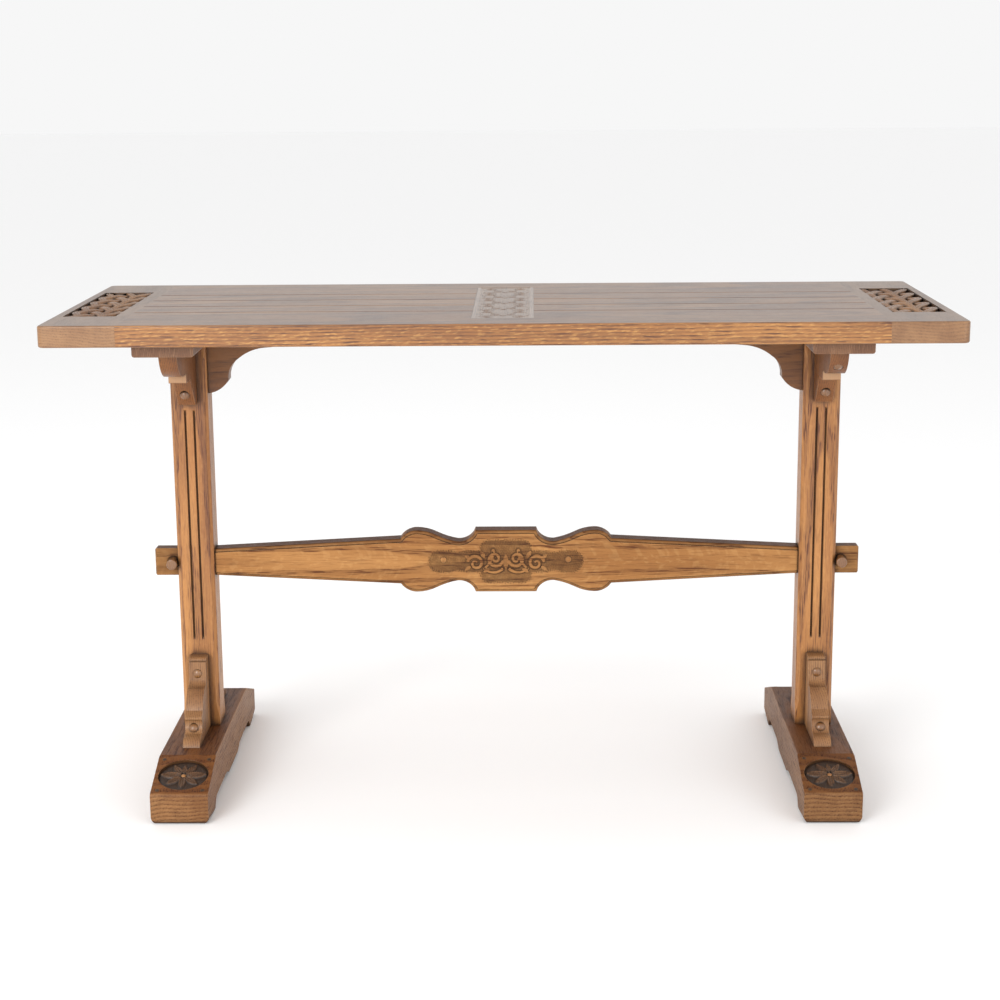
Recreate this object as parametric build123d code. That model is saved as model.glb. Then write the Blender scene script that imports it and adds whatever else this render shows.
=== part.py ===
"""Oak communion table of trestle form, built as separate boards, posts, feet, brackets and pegs.

Millimetres, +Z up. The origin is on the floor under the middle of the table,
X runs along the length and Y runs from the front (-Y) to the back (+Y).
"""
import os
from math import cos, radians, sin

from build123d import *

# ---- overall sizes ----
HEIGHT = 760.0
TOP_LENGTH = 1336.0
TOP_DEPTH = 522.0
TOP_THICK = 32.0
TOP_UNDER = HEIGHT - TOP_THICK

# ---- boards of the top ----
SEAM_X = 555.0
STRIP_WIDTH = 74.4
STRIP_EDGE = 1.5 * STRIP_WIDTH
TONGUE_LONG = 11.0
TONGUE_THICK = 9.0
EDGE_TONGUE = 7.0
EDGE_ROUND = 3.0
CORNER_ROUND = 10.0
GROOVE_WIDTH = 4.0
GROOVE_DEPTH = 2.6

# ---- carved insets of the top ----
PLAQUE_WIDTH = 92.0
PLAQUE_LENGTH = 400.0
PLAQUE_THICK = 8.0
FRET_MID_X = 614.5
FRET_WIDTH = 79.0
FRET_LENGTH = 308.0
FRET_REPEATS = 5
FRET_THICK = 13.0
FRET_SUNK = 2.5
FRET_RIM = 5.0
STRAND_WIDTH = 12.6

# ---- bearers and posts ----
POST_X = 493.7
POST_WIDTH = 58.0
POST_DEPTH = 52.0
BEARER_WIDTH = 90.0
BEARER_LENGTH = 456.0
BEARER_THICK = 19.0
BEARER_UNDER = TOP_UNDER - BEARER_THICK
POST_CHAMFER = 5.5
REED_OFFSET = 7.0
REED_LOW = 222.0
REED_HIGH = 597.0

# ---- feet ----
FOOT_WIDTH = 88.0
FOOT_LENGTH = 514.0
FOOT_HEIGHT = 78.0
FOOT_END_HEIGHT = 47.0
FOOT_SLOPE_Y = 166.0
FOOT_PAD_Y = 192.0
FOOT_ARCH = 16.0
FOOT_LIP = 7.0
PAD_ROUND_DROP = 1.5
ROSETTE_WIDTH = 77.0
ROSETTE_LENGTH = 71.0
ROSETTE_POCKET = 5.0
PLUG_DIAMETER = 6.0

# ---- stretcher ----
RAIL_Z = 347.5
RAIL_THICK = 34.0
TENON_THICK = 20.0
TENON_HEIGHT = 44.0
STRETCHER_LENGTH = 1122.0
FIT = 0.2
KEY_DIAMETER = 17.0
KEY_LENGTH = 64.0
KEY_CLEARANCE = 0.05
KEY_GAP = 0.3
CARVED_DEPTH = 1.4

# ---- brackets and pegs ----
BRACKET_WIDTH = 27.0
PEG_DIAMETER = 14.0
PEG_DOME = 3.2

POST_INNER_X = POST_X - POST_WIDTH / 2
POST_OUTER_X = POST_X + POST_WIDTH / 2
POST_FACE_Y = POST_DEPTH / 2
KEY_X = POST_OUTER_X + KEY_GAP + KEY_DIAMETER / 2


# ---- small helpers ----
def block(x0, x1, y0, y1, z0, z1):
    """A box between two opposite corners."""
    centre = Pos((x0 + x1) / 2, (y0 + y1) / 2, (z0 + z1) / 2)
    return centre * Box(x1 - x0, y1 - y0, z1 - z0)


def outline(start, *steps):
    """A closed face. A step holds one point for a line, or a middle and an end for an arc."""
    edges = []
    here = start
    for step in list(steps) + [(start,)]:
        if step[-1] != here:
            edges.append(Line(here, step[0]) if len(step) == 1 else ThreePointArc(here, *step))
        here = step[-1]
    return make_face(edges)


def slab(face, plane, half):
    """A face drawn flat, stood on a plane and thickened both ways."""
    return extrude(plane * face, half, both=True)


def left(solid):
    """The same piece on the left-hand trestle."""
    return mirror(solid, about=Plane.YZ)


def back(solid):
    """The same piece on the back of its trestle."""
    return mirror(solid, about=Plane.XZ)


def rod(start, direction, length, diameter):
    """A round bar that starts at a point and runs along a direction."""
    plane = Plane(origin=start, z_dir=direction)
    return plane * Cylinder(diameter / 2, length, align=(Align.CENTER, Align.CENTER, Align.MIN))


# ---- boards of the top ----
def edge_round(board, y_edge):
    """Soften the top and bottom of the long outside edge of a board."""
    long_edges = board.edges().filter_by(Axis.X).filter_by_position(Axis.Y, y_edge - 0.1, y_edge + 0.1)
    return fillet(long_edges, EDGE_ROUND)


def field_board(y0, y1, tongue, groove, round_at=None):
    """One board of the field, with end tongues, an edge tongue at the back and a groove in front."""
    board = block(-SEAM_X, SEAM_X, y0, y1, TOP_UNDER, HEIGHT)
    if round_at is not None:
        board = edge_round(board, round_at)
    mid = TOP_UNDER + TOP_THICK / 2
    half = TONGUE_THICK / 2
    inner0 = max(y0, -TOP_DEPTH / 2 + 26)
    inner1 = min(y1, TOP_DEPTH / 2 - 26)
    for side in (-1, 1):
        x0, x1 = sorted((side * SEAM_X, side * (SEAM_X + TONGUE_LONG)))
        board += block(x0, x1, inner0, inner1, mid - half, mid + half)
    if tongue:
        board += block(-SEAM_X, SEAM_X, y1, y1 + EDGE_TONGUE, mid - 4, mid + 4)
        board -= v_groove(y1)
    if groove:
        reach = SEAM_X + TONGUE_LONG
        board -= block(-reach, reach, y0, y0 + EDGE_TONGUE + 0.5, mid - 4, mid + 4)
        board -= v_groove(y0)
    return board - plaque_housing()


def v_groove(y):
    """The V cut along a joint between two boards."""
    half = GROOVE_WIDTH / 2
    vee = outline((y - half, HEIGHT), ((y, HEIGHT - GROOVE_DEPTH),), ((y + half, HEIGHT),))
    return slab(vee, Plane.YZ, SEAM_X)


def plaque_housing():
    """The shallow housing in the middle of the top that the carved plaque lies in."""
    half_x = PLAQUE_WIDTH / 2
    half_y = PLAQUE_LENGTH / 2
    return block(-half_x, half_x, -half_y, half_y, HEIGHT - PLAQUE_THICK, HEIGHT + 1)


def end_board():
    """The right-hand end board, grooved for the tongues and pierced for the fretwork."""
    half_y = TOP_DEPTH / 2
    half_x = TOP_LENGTH / 2
    board = block(SEAM_X, half_x, -half_y, half_y, TOP_UNDER, HEIGHT)
    corners = board.edges().filter_by(Axis.Z).group_by(Axis.X)[-1]
    board = fillet(corners, CORNER_ROUND)
    rims = board.faces().sort_by(Axis.Z)[0].edges() + board.faces().sort_by(Axis.Z)[-1].edges()
    outer = rims.filter_by(lambda edge: edge.center().X > SEAM_X + 1)
    board = fillet(outer, EDGE_ROUND)
    mid = TOP_UNDER + TOP_THICK / 2
    reach = half_y - 26
    low, high = mid - TONGUE_THICK / 2, mid + TONGUE_THICK / 2
    board -= block(SEAM_X, SEAM_X + TONGUE_LONG, -reach, reach, low, high)
    board -= fret_opening(0, TOP_UNDER - 1, HEIGHT + 1)
    return board - fret_opening(FRET_RIM, TOP_UNDER - 1, rebate_top())


def rebate_top():
    """Height of the ledge that the fretwork rim meets."""
    return HEIGHT - FRET_SUNK - 6


def fret_opening(margin, z0, z1):
    """A rectangular opening in the end board, wider than the fretwork by a margin."""
    half_x = FRET_WIDTH / 2 + margin
    half_y = FRET_LENGTH / 2 + margin
    return block(FRET_MID_X - half_x, FRET_MID_X + half_x, -half_y, half_y, z0, z1)


def strand_path(number):
    """One zigzag strand of the plait, whose rounded turns just reach the edges of the opening."""
    pitch = FRET_LENGTH / FRET_REPEATS
    swing = FRET_WIDTH / 2 - STRAND_WIDTH / 2 + 3.4
    points = []
    for turn in range(-3, 4):
        y = pitch / 2 + pitch * number + 2 * pitch * turn
        points.append((swing if turn % 2 == 0 else -swing, y))
    return FilletPolyline(*points, radius=22)


def fretwork():
    """The pierced, plaited inset of the right-hand end board, with the rim that holds it."""
    low = HEIGHT - FRET_SUNK - FRET_THICK
    ledge = rebate_top()
    plait = Sketch()
    ribs = Sketch()
    for number in range(4):
        path = strand_path(number)
        plait += trace(path, STRAND_WIDTH)
        ribs += trace(path, 1.6)
    window = Rectangle(FRET_WIDTH, FRET_LENGTH)
    plait = plait & window
    body = Pos(FRET_MID_X, 0, low) * extrude(plait, FRET_THICK)
    body -= Pos(FRET_MID_X, 0, HEIGHT - FRET_SUNK - 1.2) * extrude(ribs, 5)
    rim = fret_opening(FRET_RIM, low, ledge) - fret_opening(-1.0, low - 1, ledge + 1)
    return body + rim


def centre_plaque():
    """The carved plaque in the middle of the top: a border, a sunk ground and round flowers."""
    half_x = PLAQUE_WIDTH / 2
    half_y = PLAQUE_LENGTH / 2
    plate = block(-half_x, half_x, -half_y, half_y, HEIGHT - PLAQUE_THICK, HEIGHT)
    plate = chamfer(plate.faces().sort_by(Axis.Z)[-1].edges(), 0.8)
    field = Rectangle(PLAQUE_WIDTH - 12, PLAQUE_LENGTH - 12)
    plate -= Pos(0, 0, HEIGHT - 2.4) * extrude(field, 5)
    flower = Circle(9)
    for turn in range(6):
        flower += Rot(0, 0, 60 * turn) * Pos(17, 0) * Ellipse(10, 6)
    for row in (-2, -1, 0, 1, 2):
        plate += Pos(0, 74 * row, HEIGHT - 2.4) * extrude(flower, 1.6)
    return plate


# ---- trestles ----
def bearer():
    """The flat board under the top that caps the right-hand post, before its lobe peg holes."""
    x0 = POST_X - BEARER_WIDTH / 2
    x1 = POST_X + BEARER_WIDTH / 2
    half = BEARER_LENGTH / 2
    board = block(x0, x1, -half, half, BEARER_UNDER, TOP_UNDER)
    lower = board.faces().sort_by(Axis.Z)[0].edges()
    board = fillet(lower.filter_by(Axis.Y), 4)
    board -= block(POST_X - 18, POST_X + 18, -15, 15, BEARER_UNDER, BEARER_UNDER + 12)
    for place in bearer_screw_places():
        board -= screw_hole(place, BEARER_UNDER)
    return board


def bearer_screw_places():
    """The four screws of a bearer, two at each end beside the bracket."""
    return [(POST_X + dx, dy) for dx in (-30, 30) for dy in (-200, 200)]


def post():
    """The right-hand post: chamfered, reeded front and back, tenoned at both ends."""
    half_x = POST_WIDTH / 2
    body = block(-half_x, half_x, -POST_FACE_Y, POST_FACE_Y, FOOT_HEIGHT, BEARER_UNDER)
    for side_x in (-1, 1):
        for side_y in (-1, 1):
            body -= stopped_chamfer(side_x * half_x, side_y * POST_FACE_Y)
    for offset in (-REED_OFFSET, REED_OFFSET):
        groove = reed(offset)
        body -= groove
        body -= back(groove)
    body += block(-18, 18, -15, 15, BEARER_UNDER, BEARER_UNDER + 12)
    body += block(-17, 17, -15, 15, FOOT_HEIGHT - 45, FOOT_HEIGHT)
    slot_y = TENON_THICK / 2 + FIT
    slot_z = TENON_HEIGHT / 2 + FIT
    body -= block(-half_x, half_x, -slot_y, slot_y, RAIL_Z - slot_z, RAIL_Z + slot_z)
    body = Pos(POST_X, 0, 0) * body
    for hole in (top_peg_hole(), foot_peg_hole()):
        body -= hole
        body -= back(hole)
    return body


def stopped_chamfer(x, y):
    """Cutter for one vertical arris, running out to a point above the foot and under the top."""
    over = 1.0
    sx = 1 if x > 0 else -1
    sy = 1 if y > 0 else -1

    def corner(leg, z):
        far = leg + over
        tip = (x + sx * over, y + sy * over)
        edges = Polyline(tip, (x - sx * far, y + sy * over), (x + sx * over, y - sy * far), close=True)
        return Pos(0, 0, z) * make_face(edges)

    flat = [corner(POST_CHAMFER, 118), corner(POST_CHAMFER, 672)]
    cutter = loft(flat, ruled=True)
    cutter += loft([corner(-0.9, 84), flat[0]], ruled=True)
    cutter += loft([flat[1], corner(-0.9, 700)], ruled=True)
    return cutter


def reed(offset):
    """One V-shaped reed in the front of a post, rising to the surface at both ends."""
    half = 1.9
    vee = Polyline(
        (offset - half, -POST_FACE_Y - 1), (offset - half, -POST_FACE_Y), (offset, -POST_FACE_Y + 3.4),
        (offset + half, -POST_FACE_Y), (offset + half, -POST_FACE_Y - 1), close=True)
    bar = Pos(0, 0, REED_LOW) * extrude(make_face(vee), REED_HIGH - REED_LOW)
    ends = outline(
        (-POST_FACE_Y - 1, REED_LOW), ((-POST_FACE_Y, REED_LOW),), ((-POST_FACE_Y + 4, REED_LOW + 6),),
        ((-POST_FACE_Y + 4, REED_HIGH - 6),), ((-POST_FACE_Y, REED_HIGH),), ((-POST_FACE_Y - 1, REED_HIGH),))
    return bar & slab(ends, Plane.YZ, 20)


def foot_side():
    """Side view of a foot: sloped ends, two shallow arches below and a lip between them."""
    half = FOOT_LENGTH / 2
    side = outline(
        (0, FOOT_LIP), ((50, FOOT_LIP),), ((67, 13.5), (88, FOOT_ARCH)), ((FOOT_PAD_Y - 22, FOOT_ARCH),),
        ((FOOT_PAD_Y - 7, 10), (FOOT_PAD_Y, 0)), ((half - 5, 0),), ((half - 1.5, 1.5), (half, 5)),
        ((half, FOOT_END_HEIGHT - 4),),
        ((half - 1, FOOT_END_HEIGHT - 1), (half - 4.5, FOOT_END_HEIGHT + 1.5)),
        ((FOOT_SLOPE_Y, FOOT_HEIGHT),), ((0, FOOT_HEIGHT),))
    return side + mirror(side, about=Plane.YZ)


def foot_section(y, round_low):
    """Front view of a foot at one place along it. Its lower corners round on to just below the floor."""
    width = FOOT_WIDTH / 2
    bend = round_low * (1 - cos(radians(45)))
    low = -PAD_ROUND_DROP
    front = outline(
        (-width, FOOT_HEIGHT - 2), ((-width, low + round_low),),
        ((-width + bend, low + bend), (-width + round_low, low)), ((width - round_low, low),),
        ((width - bend, low + bend), (width, low + round_low)), ((width, FOOT_HEIGHT - 2),),
        ((width - 0.6, FOOT_HEIGHT - 0.6), (width - 2, FOOT_HEIGHT)), ((-width + 2, FOOT_HEIGHT),),
        ((-width + 0.6, FOOT_HEIGHT - 0.6), (-width, FOOT_HEIGHT - 2)))
    return Pos(0, y, 0) * (Plane.XZ * front)


def foot():
    """The right-hand foot, with its rounded floor pads, post mortise and rosette pockets."""
    width = FOOT_WIDTH / 2
    end = FOOT_LENGTH / 2
    middle = FOOT_PAD_Y + 8
    nose = loft([foot_section(-end, 13), foot_section(-middle, 3)], ruled=True)
    block_form = loft([foot_section(-middle, 3), foot_section(middle, 3)], ruled=True) + nose + back(nose)
    body = slab(foot_side(), Plane.YZ, width) & block_form
    body -= block(-17, 17, -15, 15, FOOT_HEIGHT - 45, FOOT_HEIGHT)
    plane = slope_plane()
    pocket = plane * Pos(0, 0, -ROSETTE_POCKET) * extrude(Ellipse(ROSETTE_WIDTH / 2, ROSETTE_LENGTH / 2), 20)
    body -= pocket
    body -= back(pocket)
    for place in plug_places():
        hole = plug(place, 8, 3)
        body -= hole
        body -= back(hole)
    body = Pos(POST_X, 0, 0) * body
    hole = foot_low_peg_hole()
    return body - hole - back(hole)


def slope_plane():
    """The sloped front of a foot centred on X, with local Y up the slope and Z outward."""
    run = FOOT_LENGTH / 2 - FOOT_SLOPE_Y
    rise = FOOT_HEIGHT - FOOT_END_HEIGHT
    mid = 212.0
    height = FOOT_HEIGHT - (mid - FOOT_SLOPE_Y) * rise / run
    return Plane(origin=(0, -mid, height), x_dir=(1, 0, 0), z_dir=(0, -rise, run))


def plug_places():
    """The four pins round a rosette, in the plane of the slope."""
    return [(x, y) for x in (-34.5, 34.5) for y in (-37.0, 37.0)]


def plug(place, depth, proud):
    """A small round pin set square into the slope."""
    bar = Cylinder(PLUG_DIAMETER / 2, depth + proud, align=(Align.CENTER, Align.CENTER, Align.MIN))
    return slope_plane() * Pos(place[0], place[1], -depth) * bar


def rosette():
    """The oval leaf rosette let into the front slope of the right-hand foot."""
    plate = extrude(Ellipse(ROSETTE_WIDTH / 2, ROSETTE_LENGTH / 2), 2.2)
    flower = Ellipse(9, 9)
    for turn in range(8):
        size = 16 if turn % 4 == 0 else 13
        flower += Rot(0, 0, 45 * turn) * Pos(size + 3, 0) * Ellipse(size - 1, 5)
    petals = Pos(0, 0, 2.2) * extrude(flower, 1.3)
    nub = Pos(0, 0, 3.5) * extrude(Circle(5), 1.2)
    whole = plate + petals + nub
    return Pos(POST_X, 0, 0) * slope_plane() * Pos(0, 0, -ROSETTE_POCKET) * whole


def rosette_pins():
    """The eight pins round the two rosettes of the right-hand foot."""
    pins = []
    for place in plug_places():
        pin = Pos(POST_X, 0, 0) * plug(place, 8, 0.3)
        pins += [pin, back(pin)]
    return pins


# ---- stretcher and its keys ----
def rail_outline():
    """Front view of the stretcher between the posts: tapered rail, lobes and a middle tablet."""
    quarter = outline(
        (0, 0), ((0, 50.5),), ((48.5, 50.5),), ((51, 44.5),), ((61, 35.4), (77, 32)),
        ((94, 36.3), (110, 42.8)), ((126, 48.6), (141, 50.5)), ((157.5, 46.4), (168, 36.8)),
        ((POST_INNER_X, 21.5),), ((POST_INNER_X, 0),))
    half = quarter + mirror(quarter, about=Plane.XZ)
    return half + mirror(half, about=Plane.YZ)


def carved_field():
    """The sunk ground across the middle of the stretcher, wider in the tablet."""
    field = Rectangle(250, 40)
    field = fillet(field.vertices(), 19)
    field += Rectangle(86, 74)
    for side in (-1, 1):
        field -= Pos(side * 77, 39) * Circle(22)
        field -= Pos(side * 77, -39) * Circle(22)
    return field


def stretcher():
    """The moulded stretcher with through tenons, key holes and a carved middle."""
    face = rail_outline()
    half = RAIL_THICK / 2
    body = slab(face, Plane.XZ, half - 1.2)
    rims = body.edges().filter_by(lambda edge: abs(abs(edge.center().Y) - half + 1.2) < 0.01)
    rims = rims.filter_by(lambda edge: abs(edge.center().X) < POST_INNER_X - 1)
    body = fillet(rims, 4)
    inner = rail_outline_inset(5.2)
    body += slab(inner, Plane.XZ, half)
    sunk = Pos(0, CARVED_DEPTH - half, 0) * (Plane.XZ * extrude(carved_field(), 5))
    body -= sunk
    for side in (-1, 1):
        boss = Plane.XZ * extrude(Pos(side * 99.5, 3) * Circle(4.6), 1.2)
        body += Pos(0, CARVED_DEPTH - half, 0) * boss
    tenon_end = STRETCHER_LENGTH / 2
    bar = Box(STRETCHER_LENGTH, TENON_THICK, TENON_HEIGHT)
    bar = chamfer(bar.edges().filter_by(lambda edge: abs(edge.center().X) > tenon_end - 1), 2)
    body += bar
    hole = rod((KEY_X, -40, 0), (0, 1, 0), 80, KEY_DIAMETER + 2 * KEY_CLEARANCE)
    body -= hole
    body -= left(hole)
    return Pos(0, 0, RAIL_Z) * body


def rail_outline_inset(amount):
    """The stretcher outline drawn in by the width of its moulding, still full at the posts."""
    inner = offset(rail_outline(), -amount)
    reach = POST_INNER_X - amount
    for side in (-1, 1):
        inner += Pos(side * (reach - 2 + amount / 2), 0) * Rectangle(amount + 4, 2 * (21.5 - amount))
    return inner


def key_peg():
    """The right-hand round key that locks the tenon outside the post."""
    peg = rod((KEY_X, -KEY_LENGTH / 2, RAIL_Z), (0, 1, 0), KEY_LENGTH, KEY_DIAMETER)
    return fillet(peg.edges().filter_by(GeomType.CIRCLE), 2)


# ---- brackets ----
def top_bracket():
    """The front bracket under the right-hand bearer: lobe, fillet and a tapering tail."""
    face = POST_FACE_Y
    z = BEARER_UNDER
    shape = outline(
        (-face, z), ((-face - 166, z),), ((-face - 148, z - 29), (-face - 98, z - 39.5)),
        ((-face - 98, z - 42),), ((-face - 91, z - 42),), ((-face - 91, z - 56),), ((-face - 53, z - 56),),
        ((-face - 39, z - 77), (-face - 22, z - 97)), ((-face - 19, z - 101.5),), ((-face, z - 101.5),))
    body = slab(shape, Plane.YZ, BRACKET_WIDTH / 2)
    return Pos(POST_X, 0, 0) * body - top_peg_hole()


def foot_bracket():
    """The front bracket on the right-hand foot: rounded head, stepped sweep and a toe."""
    face = POST_FACE_Y
    z = FOOT_HEIGHT
    shape = outline(
        (-face, z), ((-face, z + 120.5),), ((-face - 13, z + 120.5),),
        ((-face - 18, z + 119.5), (-face - 21, z + 116.5)),
        ((-face - 21, z + 114.5),), ((-face - 24.5, z + 113.5),), ((-face - 27, z + 87.2),),
        ((-face - 34, z + 79.5), (-face - 45, z + 76)), ((-face - 59, z + 64.5), (-face - 70, z + 48)),
        ((-face - 82, z + 40),), ((-face - 82, z + 37),), ((-face - 79, z + 35),),
        ((-face - 81, z + 22), (-face - 89, z + 15)), ((-face - 102, z + 10), (-face - 110, z)))
    body = slab(shape, Plane.YZ, BRACKET_WIDTH / 2)
    return Pos(POST_X, 0, 0) * body - foot_peg_hole() - foot_low_peg_hole()


def inner_bracket():
    """The ogee bracket between the right-hand post and the underside of the top."""
    x = POST_INNER_X
    shelf = POST_X - BEARER_WIDTH / 2
    z = BEARER_UNDER
    shape = outline(
        (x, z), ((x, z - 88.5),), ((x - 18, z - 82.5), (x - 32.5, z - 67.5)),
        ((x - 36, z - 49), (x - 49, z - 34)), ((x - 68, z - 22.5), (x - 91, z - 17)),
        ((x - 116, z - 15),), ((x - 127, z - 9), (x - 131, z + 3)), ((x - 131, TOP_UNDER),),
        ((shelf, TOP_UNDER),), ((shelf, z),))
    body = slab(shape, Plane.XZ, BRACKET_WIDTH / 2)
    return body - screw_hole(inner_screw_place(), inner_screw_seat())


def inner_screw_place():
    """Where the single screw of the ogee bracket passes up into the top."""
    return (POST_INNER_X - 100, 0)


def inner_screw_seat():
    """Height of the countersink under the arm of the ogee bracket."""
    return BEARER_UNDER - 12


# ---- pegs and screws ----
def domed_peg(start, direction, length):
    """A turned peg with a domed head that stands proud of its hole."""
    plane = Plane(origin=start, z_dir=direction)
    low = (Align.CENTER, Align.CENTER, Align.MIN)
    shank = plane * Cylinder(PEG_DIAMETER / 2, length, align=low)
    radius = PEG_DIAMETER / 2
    ball = (radius * radius + PEG_DOME * PEG_DOME) / (2 * PEG_DOME)
    cap = Pos(0, 0, ball - PEG_DOME) * Sphere(ball)
    cap = cap & Pos(0, 0, -PEG_DOME) * Cylinder(radius, PEG_DOME, align=low)
    return shank + plane * cap


def peg_hole(start, direction, length):
    """The hole of a domed peg, open on the outside."""
    step = Vector(*direction).normalized() * -30
    return rod(tuple(Vector(*start) + step), direction, length + 30, PEG_DIAMETER)


def top_peg_line():
    """The low peg of the front right top bracket, driven straight into the post."""
    return (POST_X, -POST_FACE_Y - 35, BEARER_UNDER - 83), (0, 1, 0), 58


def lobe_peg_line():
    """The peg that runs up through the bracket lobe into the bearer."""
    slope = radians(51)
    return (POST_X, -POST_FACE_Y - 149, BEARER_UNDER - 27), (0, cos(slope), sin(slope)), 48


def foot_peg_line():
    """The high peg of the front right foot bracket, driven straight into the post."""
    return (POST_X, -POST_FACE_Y - 26.5, FOOT_HEIGHT + 95), (0, 1, 0), 50


def foot_low_peg_line():
    """The low peg of the front right foot bracket, driven down into the foot."""
    slope = radians(35)
    return (POST_X, -POST_FACE_Y - 81.5, FOOT_HEIGHT + 24), (0, cos(slope), -sin(slope)), 72


def top_peg_hole():
    """The hole of the low peg of a top bracket."""
    return peg_hole(*top_peg_line())


def lobe_peg_hole():
    """The hole of the peg through a bracket lobe."""
    return peg_hole(*lobe_peg_line())


def foot_peg_hole():
    """The hole of the high peg of a foot bracket."""
    return peg_hole(*foot_peg_line())


def foot_low_peg_hole():
    """The hole of the low peg of a foot bracket."""
    return peg_hole(*foot_low_peg_line())


def peg_group(lines):
    """Domed pegs on the front right bracket and their twins at the back."""
    pegs = []
    for line in lines:
        peg = domed_peg(*line)
        pegs += [peg, back(peg)]
    return pegs


def screw_hole(place, z):
    """A countersunk hole that runs up from a level underside."""
    x, y = place
    low = (Align.CENTER, Align.CENTER, Align.MIN)
    hole = Pos(x, y, z) * Cone(5, 2.5, 4.5, align=low)
    hole += Pos(x, y, z - 60) * Cylinder(5, 60, align=low)
    return hole + Pos(x, y, z) * Cylinder(2.5, 80, align=low)


def wood_screw(place, z, length):
    """A slotted countersunk wood screw that points up."""
    x, y = place
    low = (Align.CENTER, Align.CENTER, Align.MIN)
    screw = Cone(5, 2.5, 4.5, align=low)
    screw += Cylinder(2.5, length - 6, align=low)
    screw += Pos(0, 0, length - 6) * Cone(2.5, 0.4, 6, align=low)
    screw -= Box(12, 1.4, 2.4)
    return Pos(x, y, z) * screw


def screw_pilot(place, z, length):
    """The pilot hole of a wood screw in the board above."""
    x, y = place
    return Pos(x, y, z) * Cylinder(2.5, length, align=(Align.CENTER, Align.CENTER, Align.MIN))


def save(name, shape):
    """Write one node, as a single solid or as a group of like solids."""
    if isinstance(shape, list):
        shape = Compound(children=[item.solids()[0] for item in shape])
    else:
        shape = shape.solids()[0]
    export_step(shape, os.path.join("parts", name + ".step"))
    print(name, len(shape.solids()), round(shape.volume))


def main():
    os.makedirs("parts", exist_ok=True)
    half = TOP_DEPTH / 2
    edge = STRIP_EDGE
    screws = bearer_screw_places()
    boards = {
        "front_board": field_board(-half, -edge, True, False, -half),
        "front_strip": field_board(-edge, -edge + STRIP_WIDTH, True, True),
        "middle_strip": field_board(-STRIP_WIDTH / 2, STRIP_WIDTH / 2, True, True),
        "rear_strip": field_board(edge - STRIP_WIDTH, edge, True, True),
        "rear_board": field_board(edge, half, False, True, half),
    }
    for name, board in boards.items():
        for x, y in screws + [inner_screw_place()]:
            for side in (-1, 1):
                board -= screw_pilot((side * x, y), TOP_UNDER, 22)
        save(name, board)
    save("centre_plaque", centre_plaque())
    lobe = lobe_peg_hole()
    plain = {
        "end_board": end_board(),
        "fretwork": fretwork(),
        "post": post(),
        "foot": foot(),
        "foot_bracket_front": foot_bracket(),
        "foot_bracket_rear": back(foot_bracket()),
        "inner_bracket": inner_bracket(),
        "rosette_front": rosette(),
        "rosette_rear": back(rosette()),
        "key_peg": key_peg(),
    }
    for name, piece in plain.items():
        save("right_" + name, piece)
        save("left_" + name, left(piece))
    # Only the right-hand trestle has pegs through the bracket lobes.
    bracket = top_bracket()
    save("left_bearer", left(bearer()))
    save("left_top_bracket_front", left(bracket))
    save("left_top_bracket_rear", left(back(bracket)))
    save("right_bearer", bearer() - lobe - back(lobe))
    save("right_top_bracket_front", bracket - lobe)
    save("right_top_bracket_rear", back(bracket - lobe))
    low_pegs = peg_group([top_peg_line()])
    save("left_top_bracket_pegs", [left(peg) for peg in low_pegs])
    save("right_top_bracket_pegs", low_pegs + peg_group([lobe_peg_line()]))
    groups = {
        "rosette_pins": rosette_pins(),
        "foot_bracket_pegs": peg_group([foot_peg_line(), foot_low_peg_line()]),
        "bearer_screws": [wood_screw(place, BEARER_UNDER, 40) for place in screws],
    }
    for name, pieces in groups.items():
        save("right_" + name, pieces)
        save("left_" + name, [left(piece) for piece in pieces])
    bracket_screw = wood_screw(inner_screw_place(), inner_screw_seat(), 52)
    save("inner_bracket_screws", [bracket_screw, left(bracket_screw)])
    save("stretcher", stretcher())


main()
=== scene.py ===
"""Looks of the oak communion table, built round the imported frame. Metres, +Z up, front = -Y.

The carvings are laid out in millimetres on flat fields, and scaled by MM when their points are placed.
"""
import math

import bpy
import numpy as np
from mathutils import Matrix, Vector


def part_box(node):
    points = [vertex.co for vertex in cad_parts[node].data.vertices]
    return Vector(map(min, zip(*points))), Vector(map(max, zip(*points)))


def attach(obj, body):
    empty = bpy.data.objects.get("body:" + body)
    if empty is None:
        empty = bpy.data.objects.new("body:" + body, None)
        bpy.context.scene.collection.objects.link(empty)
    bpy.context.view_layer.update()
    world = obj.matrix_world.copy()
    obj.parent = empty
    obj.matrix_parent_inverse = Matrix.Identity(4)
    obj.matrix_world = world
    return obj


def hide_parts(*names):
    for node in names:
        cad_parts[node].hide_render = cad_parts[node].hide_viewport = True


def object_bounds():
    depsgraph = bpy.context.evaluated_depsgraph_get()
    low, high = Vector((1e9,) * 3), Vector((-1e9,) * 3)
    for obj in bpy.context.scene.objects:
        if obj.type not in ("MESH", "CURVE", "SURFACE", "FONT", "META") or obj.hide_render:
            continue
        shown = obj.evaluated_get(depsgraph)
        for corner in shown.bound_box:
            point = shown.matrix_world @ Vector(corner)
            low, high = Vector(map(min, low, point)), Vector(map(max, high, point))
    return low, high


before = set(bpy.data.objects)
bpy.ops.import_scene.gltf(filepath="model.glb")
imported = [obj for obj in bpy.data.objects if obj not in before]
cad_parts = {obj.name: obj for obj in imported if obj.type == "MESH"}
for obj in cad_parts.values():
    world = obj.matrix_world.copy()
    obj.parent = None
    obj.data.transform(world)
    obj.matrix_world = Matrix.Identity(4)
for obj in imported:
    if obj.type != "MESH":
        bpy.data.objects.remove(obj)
cad_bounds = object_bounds()
TABLE_BODY = "table"
MM = 0.001

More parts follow.
